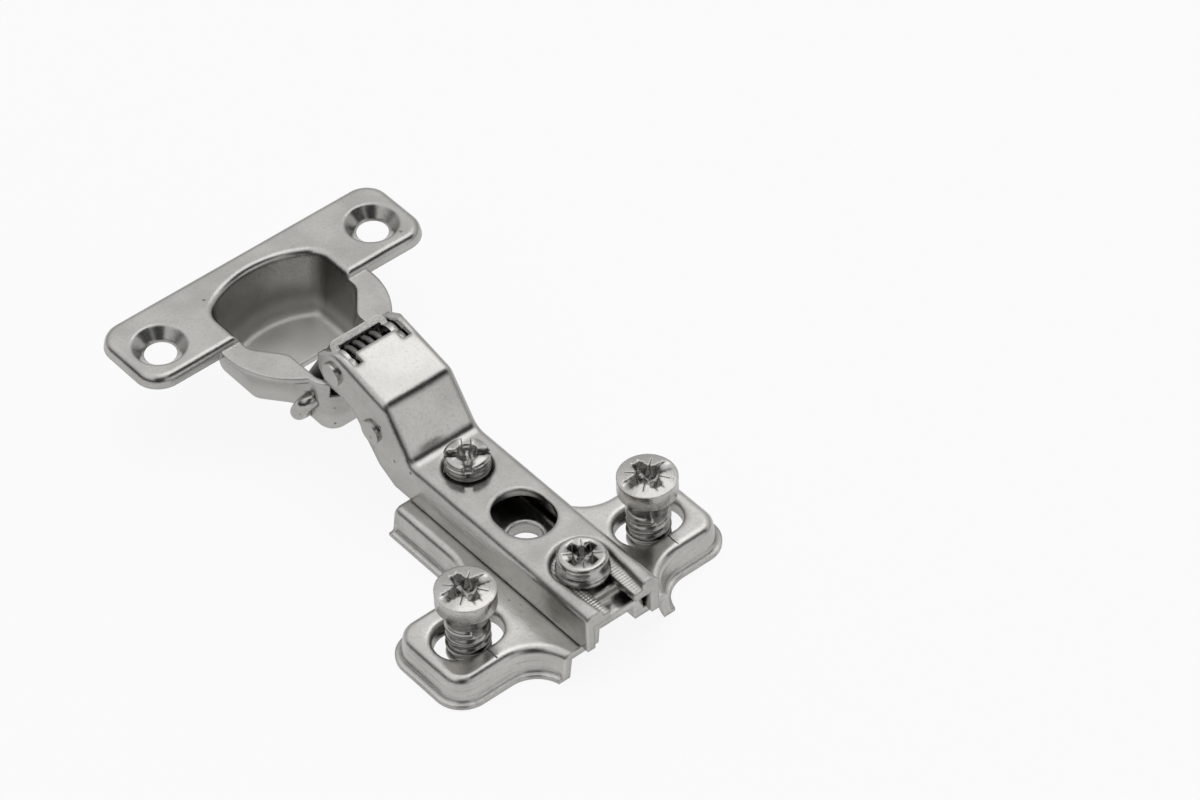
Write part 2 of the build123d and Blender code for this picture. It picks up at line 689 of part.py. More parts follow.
# Adjusting screw, with the neck and disc that the plate's slot holds
with BuildPart() as adjusting_screw:
    with BuildSketch(Plane.XY.offset(adjust_thread_foot)):
        Circle(adjust_thread / 2)
    extrude(amount=adjust_top - adjust_thread_foot)
    chamfer(adjusting_screw.faces().sort_by(Axis.Z)[-1].edges(), adjust_chamfer)
    for turn in range(adjust_grooves):
        groove_z = adjust_top - adjust_chamfer - adjust_pitch * (turn + 0.5)
        with BuildSketch(Plane.XZ):
            with BuildLine():
                Polyline((adjust_thread / 2, groove_z - adjust_groove),
                         (adjust_thread / 2 - adjust_groove, groove_z),
                         (adjust_thread / 2, groove_z + adjust_groove), close=True)
            make_face()
        revolve(axis=Axis.Z, mode=Mode.SUBTRACT)
    with BuildSketch(Plane.XY.offset(adjust_disc_foot)):
        Circle(adjust_neck / 2)
    extrude(amount=adjust_thread_foot - adjust_disc_foot)
    with BuildSketch(Plane.XY.offset(adjust_disc_foot)):
        Circle(adjust_disc / 2)
    extrude(amount=adjust_disc_top - adjust_disc_foot)
    with BuildSketch(Plane.XY.offset(adjust_top)):
        Rectangle(far, adjust_slot)
        Rectangle(adjust_slot, far)
    extrude(amount=-adjust_slot_depth, mode=Mode.SUBTRACT)
    with BuildSketch(Plane.XY.offset(adjust_top)):
        add(cross_recess.sketch)
    extrude(amount=-recess_depth, taper=recess_taper, mode=Mode.SUBTRACT)
adjusting_screw.part.location = Location((adjust_x, 0, 0), (0, 0, adjust_turn))
adjusting_screw.part.label = "adjusting_screw"
export_step(adjusting_screw.part, "parts/adjusting_screw.step")

# Cabinet screws, turned heads on a plain neck and a coarse rounded thread
head_foot = cabinet_head_top - cabinet_head_height
thread_foot = cabinet_tip + cabinet_ridge
neck_foot = head_foot - cabinet_plain
thread_height = neck_foot - cabinet_ridge - thread_foot
ridge_radius = cabinet_thread / 2 - cabinet_ridge
for label, side in (("cabinet_screw_left", -1), ("cabinet_screw_right", 1)):
    with BuildPart() as cabinet_screw:
        with BuildSketch(Plane.XZ):
            with BuildLine():
                Polyline((0, cabinet_head_top), (0, cabinet_tip), (cabinet_core / 2, cabinet_tip),
                         (cabinet_core / 2, neck_foot), (cabinet_neck / 2, neck_foot),
                         (cabinet_neck / 2, head_foot), (cabinet_head / 2 - cabinet_under, head_foot),
                         (cabinet_head / 2, head_foot + cabinet_under),
                         (cabinet_head / 2, cabinet_head_top - cabinet_crown))
                TangentArc((0, cabinet_head_top), (cabinet_head / 2, cabinet_head_top - cabinet_crown),
                           tangent=(1, 0), tangent_from_first=True)
            make_face()
        revolve(axis=Axis.Z)
        with BuildLine() as thread:
            Helix(cabinet_pitch, thread_height, ridge_radius, center=(0, 0, thread_foot))
        with BuildSketch(Plane(origin=thread.line @ 0, z_dir=thread.line % 0)):
            Circle(cabinet_ridge)
        sweep(path=thread.line, is_frenet=True)
        with BuildSketch(Plane.XY.offset(cabinet_head_top)):
            Rectangle(recess_width, far)
        extrude(amount=-cabinet_slot_depth, mode=Mode.SUBTRACT)
        with BuildSketch(Plane.XY.offset(cabinet_head_top)):
            add(cross_recess.sketch)
        extrude(amount=-recess_depth, taper=recess_taper, mode=Mode.SUBTRACT)
    cabinet_screw.part.location = Location((0, side * screw_spacing / 2, 0), (0, 0, cabinet_turn))
    cabinet_screw.part.label = label
    export_step(cabinet_screw.part, f"parts/{label}.step")
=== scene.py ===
"""Looks of a concealed cabinet hinge: plated finishes, tool marks, wear, floor, light, camera."""

import math

import bmesh
import bpy
from bpy.props import FloatProperty, FloatVectorProperty, PointerProperty
from mathutils import Euler, Matrix, Vector


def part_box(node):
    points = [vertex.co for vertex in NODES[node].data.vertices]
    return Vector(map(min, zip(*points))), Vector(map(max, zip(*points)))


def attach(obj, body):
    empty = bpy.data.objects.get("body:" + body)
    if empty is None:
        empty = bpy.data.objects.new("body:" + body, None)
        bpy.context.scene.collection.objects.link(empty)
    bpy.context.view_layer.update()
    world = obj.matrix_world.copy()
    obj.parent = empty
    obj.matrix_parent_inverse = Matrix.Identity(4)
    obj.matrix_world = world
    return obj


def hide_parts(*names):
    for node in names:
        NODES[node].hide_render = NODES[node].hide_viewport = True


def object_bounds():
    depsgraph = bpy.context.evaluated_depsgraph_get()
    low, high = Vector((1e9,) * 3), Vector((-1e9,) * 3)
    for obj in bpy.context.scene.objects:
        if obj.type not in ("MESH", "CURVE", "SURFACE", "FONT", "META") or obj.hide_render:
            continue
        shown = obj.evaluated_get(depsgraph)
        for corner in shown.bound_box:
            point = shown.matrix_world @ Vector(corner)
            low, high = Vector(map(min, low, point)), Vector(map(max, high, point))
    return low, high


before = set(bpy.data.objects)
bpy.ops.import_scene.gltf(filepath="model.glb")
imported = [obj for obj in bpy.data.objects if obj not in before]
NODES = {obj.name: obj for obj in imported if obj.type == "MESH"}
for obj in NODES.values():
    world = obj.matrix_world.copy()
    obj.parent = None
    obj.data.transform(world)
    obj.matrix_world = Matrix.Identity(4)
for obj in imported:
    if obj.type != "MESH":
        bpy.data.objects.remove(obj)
CAD_BOX = [list(corner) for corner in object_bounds()]

bl_info = {
    "name": "Concealed hinge looks",
    "version": (1, 0, 0),
    "blender": (4, 5, 0),
    "location": "View3D > Sidebar > Hinge",
    "description": "Dresses a packed concealed hinge with plated finishes and a studio",
    "category": "Object",
}

MM = 0.001
WHITE = (1, 1, 1, 1)
# Near black for pits and cracks, and for painted shade on the bowl's wall and between the spring's
# coils
PIT_AND_SHADE_BLACK = (0.05, 0.048, 0.045)
WIRE_ROUGHNESS = 0.32

# Rays that a point on a piece sends out to find edges and hollows
EDGE_RAYS = 6
HOLLOW_RAYS = 8

# Depth of the plate's slow waves, depth of its fine relief, and where painted shade gathers in
# hollows
WAVE_DEPTH = 0.3 * MM
RELIEF_DEPTH = 0.03 * MM
HOLLOW_SHADE_REACH = 2 * MM
HOLLOW_SHADE_FADE = 0.65

# Radius that the edges of each kind of piece seem to have
PLATE_EDGE = 0.9 * MM
ARM_EDGE = 0.9 * MM
CUP_EDGE = 0.6 * MM
STRIP_EDGE = 0.2 * MM
SCREW_EDGE = 0.35 * MM

# The crack at the rear of each slot in the mounting plate
CRACK_REAR, CRACK_FRONT = -6.2 * MM, -2 * MM
CRACK_BOTTOM = 3.4 * MM
CRACK_HALF_WIDTH = 0.12 * MM
CRACK_WANDER = 0.6 * MM

# The arm's knurled seat
KNURL_PITCH = 0.7 * MM
SEAT_RADIUS = 9 * MM
SEAT_TOP = 10.2 * MM

# Heights between which the bowl's painted-pale floor gives way to its wall, and the reach of the
# wall's painted shade
BOWL_FLOOR, BOWL_WALL = 4.5 * MM, 7 * MM
BOWL_SHADE = 25 * MM

# Tool marks on the screws
RING_PITCH = 0.35 * MM
SHANK_PITCH = 0.3 * MM

# How recesses are cut: wedges about the axis, feet narrower than mouths, near points joined
WEDGES = 8
FOOT_SHARE = 0.6
JOIN_SOLID = MM / 1000
JOIN_CUT = 2 * MM / 1000
SHARP_ANGLE = math.radians(30)

# Rows of a recess: reach from the screw's axis, half of the width, and depth, in mm
CABINET_WING = ((0.05, 1.0, 2.5), (1.5, 0.92, 2.0), (2.45, 0.75, 1.2), (2.8, 0.6, 0.1))
CABINET_FLUTE = ((0.8, 0.6, 2.0), (1.5, 0.3, 1.3), (1.75, 0.06, 0.15), (3.2, 0.05, 0.1))
CLAMP_WING = ((0.05, 0.78, 2.2), (1.35, 0.72, 1.7), (2.1, 0.6, 1.0), (2.4, 0.45, 0.1))
CLAMP_FLUTE = ((0.7, 0.46, 1.8), (1.25, 0.24, 1.1), (1.5, 0.06, 0.15), (2.75, 0.05, 0.1))
SLOT_WING = ((0.05, 0.8, 2.2), (1.2, 0.68, 1.8), (1.7, 0.5, 1.5), (3.0, 0.5, 1.35))
SLOT_FLUTE = ((0.05, 0.8, 2.2), (1.2, 0.68, 1.6), (1.7, 0.45, 0.1))
# How fast a head falls away from its middle, per mm
DOMED, FLAT = 0.0243, 0.0
# Screw, body that it rides on, turn of its recess in degrees, head, wings and flutes
SCREWS = (("cabinet_screw_left", "plate", -6, DOMED, CABINET_WING, CABINET_FLUTE),
          ("cabinet_screw_right", "plate", -6, DOMED, CABINET_WING, CABINET_FLUTE),
          ("clamp_screw", "clamp", 10, FLAT, CLAMP_WING, CLAMP_FLUTE),
          ("adjusting_screw", "adjuster", 54, FLAT, SLOT_WING, SLOT_FLUTE))

# The room's shade from straight down, 0, to straight up, 1
PALE_STOPS = ((0.0, 0.3), (0.5, 0.3), (0.6, 0.5), (0.77, 0.75), (0.86, 0.92), (1.0, 1.0))
DARK_STOPS = ((0.0, 0.3), (0.5, 0.02), (0.67, 0.03), (0.77, 0.55), (0.86, 0.92), (1.0, 1.0))
# Ways from the hinge to the dark wall, the flag overhead and the lens
WALL_WAY = (-0.17, 0.985, 0.0)
FLAG_WAY = (-0.55, -0.41, 0.73)
LENS_WAY = (-0.576, 0.414, 0.705)
FLAG_SHADE = (0.04, 0.04, 0.04, 1)
LENS_SHADE = (0.05, 0.05, 0.05, 1)

PAPER = (0.9, 0.9, 0.9, 1)
FLOOR_GLOW = 0.45
FLOOR_GAP = 0.05 * MM
# Name, place, size and radiance of each lamp, and the point that they face
LAMPS = (("top_softbox", (0.14, -0.38, 0.85), (0.6, 0.6), 0.62),
         ("side_softbox", (-0.75, -0.35, 0.35), (0.4, 0.5), 0.4))
LAMP_TARGET = (0.03, 0, 0.01)
FRAME_WIDTH = 36
CLIP_NEAR, CLIP_FAR = 0.01, 20


class Field:
    """One socket of a finish. Arithmetic on it adds Math nodes."""

    def __init__(self, finish, socket):
        self.finish = finish
        self.socket = socket

    def maths(self, operation, *others):
        sockets = dict(enumerate((self, *others)))
        return self.finish.node("ShaderNodeMath", {"operation": operation}, sockets)

    def __add__(self, other):
        return self.maths("ADD", other)

    __radd__ = __add__

    def __sub__(self, other):
        return self.maths("SUBTRACT", other)

    def __rsub__(self, other):
        return self.finish.node("ShaderNodeMath", {"operation": "SUBTRACT"}, {0: other, 1: self})

    def __mul__(self, other):
        return self.maths("MULTIPLY", other)

    __rmul__ = __mul__

    def __gt__(self, other):
        return self.maths("GREATER_THAN", other)

    def __lt__(self, other):
        return self.maths("LESS_THAN", other)

    def __abs__(self):
        return self.maths("ABSOLUTE")

    def step(self, low, high):
        """0 below low and 1 above high, smooth between them."""
        return self.finish.node("ShaderNodeMapRange", {"interpolation_type": "SMOOTHSTEP"},
                                {"Value": self, "From Min": low, "From Max": high})

    def wave(self, pitch):
        """Swings between -1 and 1, once in each pitch."""
        return (self * (2 * math.pi / pitch)).maths("SINE")


class Finish:
    """A shader tree, written as Python."""

    def __init__(self, owner, result="ShaderNodeOutputMaterial"):
        owner.use_nodes = True
        self.tree = owner.node_tree
        self.tree.nodes.clear()
        self.result = result

    def node(self, kind, settings=None, sockets=None, output=0):
        """Adds a node with these settings, and values or fields in its sockets."""
        made = self.tree.nodes.new(kind)
        for name, value in (settings or {}).items():
            if name == "stops":
                ramp = made.color_ramp.elements
                while len(ramp) < len(value):
                    ramp.new(0.5)
                for stop, (place, shade) in zip(ramp, value):
                    stop.position = place
                    stop.color = (shade, shade, shade, 1)
            else:
                setattr(made, name, value)
        for name, value in (sockets or {}).items():
            if isinstance(value, Field):
                self.tree.links.new(value.socket, made.inputs[name])
            elif value is not None:
                made.inputs[name].default_value = value
        return Field(self, made.outputs[output]) if made.outputs else None

    def place(self):
        """Position on the piece, in metres, in the hinge's own frame."""
        return self.node("ShaderNodeTexCoord", output="Object")

    def part(self, vector, axis):
        return self.node("ShaderNodeSeparateXYZ", None, {"Vector": vector}, output=axis)

    def stretch(self, vector, scale):
        return self.node("ShaderNodeMapping", {"vector_type": "POINT"},
                         {"Vector": vector, "Scale": scale})

    def vector_maths(self, operation, first, second=None, output=0):
        return self.node("ShaderNodeVectorMath", {"operation": operation},
                         {0: first, 1: second}, output)

    def dot(self, first, second):
        return self.vector_maths("DOT_PRODUCT", first, second, output="Value")

    def seen_from(self, vector, centre):
        return self.vector_maths("SUBTRACT", vector, centre)

    def turned(self, vector, angle):
        """The vector along axes turned by angle about Z."""
        return self.node("ShaderNodeVectorRotate", {"rotation_type": "Z_AXIS"},
                         {"Vector": vector, "Angle": -angle})

    def off_axis(self, vector):
        """How far the vector reaches from the Z axis."""
        flat = self.vector_maths("MULTIPLY", vector, (1, 1, 0))
        return self.vector_maths("LENGTH", flat, output="Value")

    def noise(self, vector, scale, detail=3.0, roughness=0.55):
        return self.node("ShaderNodeTexNoise", {"normalize": True},
                         {"Vector": vector, "Scale": scale, "Detail": detail,
                          "Roughness": roughness})

    def specks(self, vector, scale, radius):
        """Round dots, scattered at random, 1 inside a dot."""
        cell = self.node("ShaderNodeTexVoronoi", {"feature": "F1"},
                         {"Vector": vector, "Scale": scale})
        return 1 - cell.step(radius * 0.6, radius)

    def facing(self):
        """The surface's own normal."""
        return self.node("ShaderNodeNewGeometry", output="Normal")

    def rounded(self, radius):
        """The normal that the surface would have with its edges rounded."""
        return self.node("ShaderNodeBevel", {"samples": EDGE_RAYS}, {"Radius": radius})

    def hollow(self, distance, own=False):
        """0 deep in a hollow, 1 in the open. With own, other pieces don't count."""
        return self.node("ShaderNodeAmbientOcclusion",
                         {"samples": HOLLOW_RAYS, "only_local": own}, {"Distance": distance},
                         output="AO")

    def tint(self, factor, first, second):
        return self.node("ShaderNodeMix", {"data_type": "RGBA", "clamp_factor": True},
                         {"Factor": factor, 6: first, 7: second}, output=2)

    def bump(self, height, strength, distance, normal=None):
        return self.node("ShaderNodeBump", None,
                         {"Height": height, "Strength": strength, "Distance": distance,
                          "Normal": normal})

    def surface(self, shader):
        """Ends the tree in this shader."""
        self.node(self.result, None, {"Surface": shader})

    def metal(self, colour, roughness, normal):
        self.surface(self.node("ShaderNodeBsdfPrincipled", None,
                               {"Metallic": 1.0, "Base Color": colour, "Roughness": roughness,
                                "Normal": normal}))


def new_finish(name):
    """A material, its empty finish and the place on the piece."""
    material = bpy.data.materials.new(name)
    finish = Finish(material)
    return material, finish, finish.place()


def opaque(colour, level=1.0):
    return (*(part * level for part in colour), 1.0)


def plated(finish, place, colour, roughness, relief, scars_and_shade, edge_radius,
           hollow_shade_strength=0.5, open_level=0.75, bright=None):
    """Joins the plate's cloudy sheen, paler edges and painted shade in hollows with a piece's relief,
    scars and any painted shade.

    The paler edges are partly rubbed plate and partly a painted highlight. One argument sets how
    dark the painted shade in hollows is, open_level how open a place is where it ends, and bright
    marks where the plate is painted paler, as painted light.
    """
    cloud = finish.noise(place, scale=170, detail=4)
    peel = finish.noise(place, scale=1700, detail=2)
    speckle = finish.noise(place, scale=2600, roughness=0.7)
    edge = finish.rounded(edge_radius)
    # Edges painted paler: partly rubbed plate, partly a painted highlight along every edge
    worn_and_highlit = (1 - finish.dot(edge, finish.facing())).step(0.01, 0.12)
    # Painted shade: a mask of the hollows, where less light reaches
    hollow_shade = 1 - finish.hollow(HOLLOW_SHADE_REACH).step(open_level - HOLLOW_SHADE_FADE, open_level)
    shade = finish.tint(cloud.step(0.3, 0.7), opaque(colour, 0.86), opaque(colour, 1.03))
    shade = finish.tint(speckle.step(0.5, 0.75) * 0.4, shade, opaque(colour, 0.6))
    # Painted light: the colour is raised towards 1.5 times where bright is set
    if bright is not None:
        shade = finish.tint(bright, shade, opaque(colour, 1.5))
    # Painted highlight, partly rubbed plate: edges raised towards 1.35 times the colour
    shade = finish.tint(worn_and_highlit * 0.5, shade, opaque(colour, 1.35))
    # Painted shade: hollows are darkened towards 0.3 of the colour
    shade = finish.tint(hollow_shade * hollow_shade_strength, shade, opaque(colour, 0.3))
    # Scars are tinted near black; on the cup's wall this tint is painted shade
    shade = finish.tint(scars_and_shade * 0.85, shade, opaque(PIT_AND_SHADE_BLACK))
    rough = (roughness + (cloud - 0.5) * 0.14 + (speckle - 0.5) * 0.12
             + scars_and_shade * 0.3 - worn_and_highlit * 0.06)
    swell = finish.noise(place, scale=105, detail=1)
    waves = finish.bump(swell, strength=1.0, distance=WAVE_DEPTH, normal=edge)
    height = relief + peel * 1.5 - scars_and_shade * 2.0
    finish.metal(shade, rough,
                 finish.bump(height, strength=0.3, distance=RELIEF_DEPTH, normal=waves))


def pits(finish, place, amount):
    """Small dark pits where the plate missed the steel, more of them in some patches."""
    large_patch = finish.noise(place, scale=75, detail=2) > 0.60
    small_patch = finish.noise(place, scale=210, detail=2) > 0.62
    large = finish.specks(place, scale=330, radius=0.10) * large_patch
    small = finish.specks(place, scale=1100, radius=0.14) * small_patch
    return (large + small * 0.7) * amount


def draw_lines(finish, place, along, strength):
    """Fine lines left by the press on steep walls."""
    steep = (1 - abs(finish.part(finish.facing(), "Z"))).step(0.35, 0.8)
    lines = finish.noise(finish.stretch(place, along), scale=3200, roughness=0.65)
    return lines * steep * strength


def mounting_plate_finish(name, colour, roughness, slot_y):
    """Plated pressing with level draw lines round its skirt and a crack behind each slot."""
    material, finish, place = new_finish(name)
    grain = finish.noise(finish.stretch(place, (1, 0.15, 1)), scale=2600, roughness=0.6) * 0.5
    lines = draw_lines(finish, place, along=(0.05, 0.05, 1), strength=1.0)
    x, y, z = (finish.part(place, axis) for axis in "XYZ")
    wander = (finish.noise(place, scale=900, detail=2) - 0.5) * CRACK_WANDER
    on_line = abs(abs(y + wander) - slot_y) < CRACK_HALF_WIDTH
    crack = on_line * (x > CRACK_REAR) * (x < CRACK_FRONT) * (z > CRACK_BOTTOM)
    scars_and_shade = pits(finish, place, 1.0) + lines.step(0.5, 0.72) * 0.25 + crack
    plated(finish, place, colour, roughness, grain + lines * 3.0, scars_and_shade, PLATE_EDGE)
    return material


def arm_finish(name, colour, roughness, seat_centre):
    """Plated channel with rolling lines along it and a knurled seat under the clamp screw."""
    material, finish, place = new_finish(name)
    grain = finish.noise(finish.stretch(place, (0.12, 1, 1)), scale=2600, roughness=0.6)
    spot = finish.turned(finish.seen_from(place, seat_centre), math.radians(45))
    knurl = finish.part(spot, "X").wave(KNURL_PITCH) * finish.part(spot, "Y").wave(KNURL_PITCH)
    low = finish.part(place, "Z") < SEAT_TOP
    level = finish.part(finish.facing(), "Z") > 0.9
    on_seat = (finish.off_axis(spot) < SEAT_RADIUS) * low * level
    lines = draw_lines(finish, place, along=(0.06, 1, 1), strength=2.0)
    relief = grain + lines + knurl * on_seat * 2
    plated(finish, place, colour, roughness, relief, pits(finish, place, 0.8), ARM_EDGE)
    return material


def cup_finish(name, colour, roughness):
    """Deep drawn plate: lines run down the bowl's wall, which is painted darker as shade, and its
    floor is matt and painted paler as light.
    """
    material, finish, place = new_finish(name)
    floor = 1 - finish.part(place, "Z").step(BOWL_FLOOR, BOWL_WALL)
    # Painted shade: the inside of the bowl's wall, where the cup itself keeps the light out
    wall = (1 - finish.hollow(BOWL_SHADE, own=True).step(0.4, 0.9)) * (1 - floor)
    grain = finish.noise(place, scale=2400, roughness=0.6)
    lines = draw_lines(finish, place, along=(1, 1, 0.07), strength=3.0)
    relief = grain * (floor * 2.0 + 0.6) + lines
    # The wall mask is added to the dark marks, as painted shade on the bowl's wall
    scars_and_shade = pits(finish, place, 0.7) + wall * 0.35
    # Painted light: the bowl's floor is painted paler through bright
    plated(finish, place, colour, floor * 0.3 + roughness, relief, scars_and_shade, CUP_EDGE,
           bright=floor * 0.65)
    return material


def strip_finish(name, colour, roughness, along):
    """Narrow plated strip with clear rolling lines, for links and pins."""
    material, finish, place = new_finish(name)
    lines = finish.noise(finish.stretch(place, along), scale=2800, detail=4, roughness=0.65)
    plated(finish, place, colour, roughness, lines * 2.4, pits(finish, place, 0.5), STRIP_EDGE)
    return material


def turned_finish(name, colour, roughness, centre):
    """Bright plate on a screw, with fine rings about its axis and nicks from handling."""
    material, finish, place = new_finish(name)
    spot = finish.seen_from(place, centre)
    rings = finish.off_axis(spot).wave(RING_PITCH)
    lines = finish.part(spot, "Z").wave(SHANK_PITCH)
    top = finish.part(finish.facing(), "Z").step(0.6, 0.9)
    nicked = finish.noise(place, scale=240, detail=2) > 0.56
    nicks = finish.specks(place, scale=800, radius=0.13) * nicked
    dents = finish.noise(place, scale=900)
    relief = rings * top * 0.25 + lines * (1 - top) * 0.4 + dents * 3.0
    # Painted shade: the recesses in the heads are painted strongly darker
    plated(finish, place, colour, roughness, relief, nicks * 0.8, SCREW_EDGE,
           hollow_shade_strength=0.9, open_level=0.92)
    return material


def wire_finish(name, colour, roughness):
    """Hard drawn wire: fine dark lines and a dull sheen."""
    material, finish, place = new_finish(name)
    lines = finish.noise(finish.stretch(place, (1, 4, 1)), scale=1800)
    # Painted shade: the wire is darkened towards near black between its coils
    hollow_shade = 1 - finish.hollow(1 * MM).step(0.2, 0.9)
    shade = finish.tint(lines.step(0.35, 0.65), opaque(colour, 0.75), opaque(colour))
    shade = finish.tint(hollow_shade * 0.8, shade, opaque(PIT_AND_SHADE_BLACK))
    finish.metal(shade, roughness + (lines - 0.5) * 0.2,
                 finish.bump(lines, strength=0.2, distance=RELIEF_DEPTH))
    return material


def mesh_piece(name, shape):
    """A linked object that holds a bmesh, which is freed."""
    mesh = bpy.data.meshes.new(name)
    shape.to_mesh(mesh)
    shape.free()
    piece = bpy.data.objects.new(name, mesh)
    bpy.context.scene.collection.objects.link(piece)
    return piece


def recess_cutter(centre, angle, top, crown, rows):
    """One closed wedge, from the screw's axis outwards, with a six-sided section at each row."""
    cut = bmesh.new()
    spin = Matrix.Rotation(math.radians(angle), 3, "Z")
    rings = []
    for reach, half, depth in rows:
        skin = top - crown * reach ** 2
        foot = FOOT_SHARE * half
        section = ((reach, -half, top + half), (reach, -half, skin), (reach, -foot, skin - depth),
                   (reach, foot, skin - depth), (reach, half, skin), (reach, half, top + half))
        rings.append([cut.verts.new(Vector(centre) + spin @ Vector(point) * MM)
                      for point in section])
    for first, second in zip(rings, rings[1:]):
        for side in range(len(first)):
            after = (side + 1) % len(first)
            cut.faces.new((first[side], first[after], second[after], second[side]))
    cut.faces.new(rings[0])
    cut.faces.new(rings[-1])
    bmesh.ops.recalc_face_normals(cut, faces=cut.faces)
    bmesh.ops.triangulate(cut, faces=cut.faces)
    return mesh_piece("recess_cutter", cut)


def fluted_screw(node, centre, turn, top, crown, wing, flute):
    """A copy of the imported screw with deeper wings, and a flute and a scribed line between them."""
    solid = bmesh.new()
    solid.from_mesh(NODES[node].data)
    bmesh.ops.remove_doubles(solid, verts=solid.verts, dist=JOIN_SOLID)
    piece = mesh_piece("fluted_" + node, solid)
    cutters = [recess_cutter(centre, turn + 360 / WEDGES * wedge, top, crown,
                             flute if wedge % 2 else wing)
               for wedge in range(WEDGES)]
    for cutter in cutters:
        boolean = piece.modifiers.new("recess", "BOOLEAN")
        boolean.operation = "DIFFERENCE"
        boolean.solver = "MANIFOLD"
        boolean.object = cutter
    evaluated = piece.evaluated_get(bpy.context.evaluated_depsgraph_get())
    mesh = bpy.data.meshes.new_from_object(evaluated)
    clean = bmesh.new()
    clean.from_mesh(mesh)
    bmesh.ops.remove_doubles(clean, verts=clean.verts, dist=JOIN_CUT)
    bmesh.ops.dissolve_degenerate(clean, edges=clean.edges, dist=JOIN_CUT)
    bmesh.ops.triangulate(clean, faces=clean.faces)
    clean.to_mesh(mesh)
    clean.free()
    piece.modifiers.clear()
    piece.data = mesh
    for cutter in cutters:
        bpy.data.objects.remove(cutter)
    mesh.shade_smooth()
    mesh.set_sharp_from_angle(angle=SHARP_ANGLE)
    return piece


def dress(piece, material):
    slots = piece.data.materials
    slots.clear()
    slots.append(material)


def axis_foot(low, high):
    """Where the axis of an upright screw with this box meets the cabinet."""
    return ((low[0] + high[0]) / 2, (low[1] + high[1]) / 2, 0)


def colour_setting(name, description, default):
    return FloatVectorProperty(name=name, description=description, subtype="COLOR",
                               size=3, min=0, max=1, default=default)


def share_setting(name, description, default):
    return FloatProperty(name=name, description=description, subtype="FACTOR",
                         min=0, max=1, default=default)


class PlateColours(bpy.types.PropertyGroup):
    """Finishes of the pressed and turned pieces."""
    sheet: colour_setting("Sheet", "Colour of the plated sheet", (0.53, 0.522, 0.5))
    plate: colour_setting("Plate", "Colour of the mounting plate", (0.62, 0.61, 0.585))
    screw: colour_setting("Screw", "Colour of the plated screws", (0.56, 0.55, 0.525))
    wire: colour_setting("Wire", "Colour of the spring's wire", (0.16, 0.155, 0.15))
    sheet_roughness: share_setting("Sheet roughness", "How matt the sheet is", 0.2)
    screw_roughness: share_setting("Screw roughness", "How matt the screws are", 0.17)


class StudioSettings(bpy.types.PropertyGroup):
    """Camera and floor."""
    camera_place: FloatVectorProperty(
        name="Camera", description="Where the camera stands", unit="LENGTH", size=3,
        default=(-0.38643, 0.29937, 0.51918))
    camera_turn: FloatVectorProperty(
        name="Camera turn", description="How the camera is turned", subtype="EULER", size=3,
        default=tuple(math.radians(angle) for angle in (45.4165, 1.5075, -130.0066)))
    lens: FloatProperty(
        name="Lens", description="Focal length on a 36 mm wide frame", default=155.98)
    floor_size: FloatProperty(
        name="Floor", description="Width of the floor", unit="LENGTH", default=6.0)


class HINGE_OT_mounting_plate(bpy.types.Operator):
    """Plates the mounting plate"""
    bl_idname = "hinge.mounting_plate"
    bl_label = "Plate the mounting plate"

    def execute(self, context):
        colours = context.scene.hinge_colours
        low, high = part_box("cabinet_screw_right")
        slot_y = axis_foot(low, high)[1]
        dress(NODES["mounting_plate"],
              mounting_plate_finish("plated_mounting_plate", colours.plate,
                                    colours.sheet_roughness, slot_y))
        return {"FINISHED"}


class HINGE_OT_arm(bpy.types.Operator):
    """Plates the arm and knurls its seat"""
    bl_idname = "hinge.arm"
    bl_label = "Plate the arm"

    def execute(self, context):
        colours = context.scene.hinge_colours
        low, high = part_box("clamp_screw")
        dress(NODES["arm"], arm_finish("plated_arm", colours.sheet, colours.sheet_roughness,
                                       axis_foot(low, high)))
        return {"FINISHED"}


class HINGE_OT_cup(bpy.types.Operator):
    """Plates the drawn cup"""
    bl_idname = "hinge.cup"
    bl_label = "Plate the cup"

    def execute(self, context):
        colours = context.scene.hinge_colours
        dress(NODES["hinge_cup"],
              cup_finish("plated_cup", colours.sheet, colours.sheet_roughness))
        return {"FINISHED"}


class HINGE_OT_links(bpy.types.Operator):
    """Finishes the links, the pins and the spring"""
    bl_idname = "hinge.links"
    bl_label = "Finish the links"

    def execute(self, context):
        colours = context.scene.hinge_colours
        rough = colours.sheet_roughness
        for node in ("inner_link", "outer_link"):
            dress(NODES[node],
                  strip_finish("plated_" + node, colours.sheet, rough, (0.15, 1, 0.15)))
        pin = strip_finish("pin_steel", colours.screw, rough, (1, 0.1, 1))
        for node in ("front_arm_pin", "rear_arm_pin", "cup_pin"):
            dress(NODES[node], pin)
        dress(NODES["torsion_spring"], wire_finish("spring_wire", colours.wire, WIRE_ROUGHNESS))
        return {"FINISHED"}


class HINGE_OT_screws(bpy.types.Operator):
    """Finishes the screws and cuts the flutes into their heads"""
    bl_idname = "hinge.screws"
    bl_label = "Finish the screws"

    def execute(self, context):
        colours = context.scene.hinge_colours
        for node, body, turn, crown, wing, flute in SCREWS:
            low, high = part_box(node)
            centre = axis_foot(low, high)
            finish = turned_finish("turned_" + node, colours.screw, colours.screw_roughness,
                                   centre)
            piece = fluted_screw(node, centre, turn, high[2] / MM, crown, wing, flute)
            dress(piece, finish)
            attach(piece, body)
            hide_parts(node)
        return {"FINISHED"}


